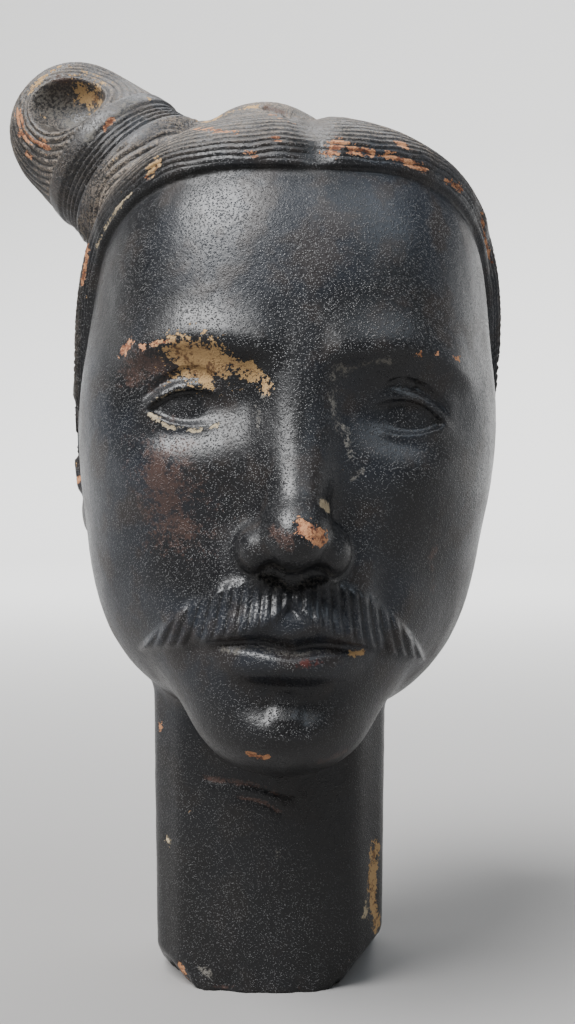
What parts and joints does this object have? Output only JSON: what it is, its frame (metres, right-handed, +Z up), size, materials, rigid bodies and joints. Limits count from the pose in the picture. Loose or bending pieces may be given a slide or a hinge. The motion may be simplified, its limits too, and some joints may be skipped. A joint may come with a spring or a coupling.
{
  "type": "terracotta warrior head",
  "caption": "Bust of an ancient warrior in smoke-blackened fired clay, with combed hair drawn up to a side topknot, a moustache, and a neck cut flat to stand on.",
  "frame": {"origin": "middle of the flat cut across the neck, on which the head stands", "axes": "+Z up the neck to the crown, -Y the way the face looks, +X to the viewer's right"},
  "size_m": [0.0824, 0.0962, 0.1494],
  "materials": {
    "clay": "smoke-blackened fired clay with a dull sheen, worn to orange clay on its edges"
  },
  "bodies": {
    "root": {"warrior_head": "clay"}
  },
  "joints": []
}
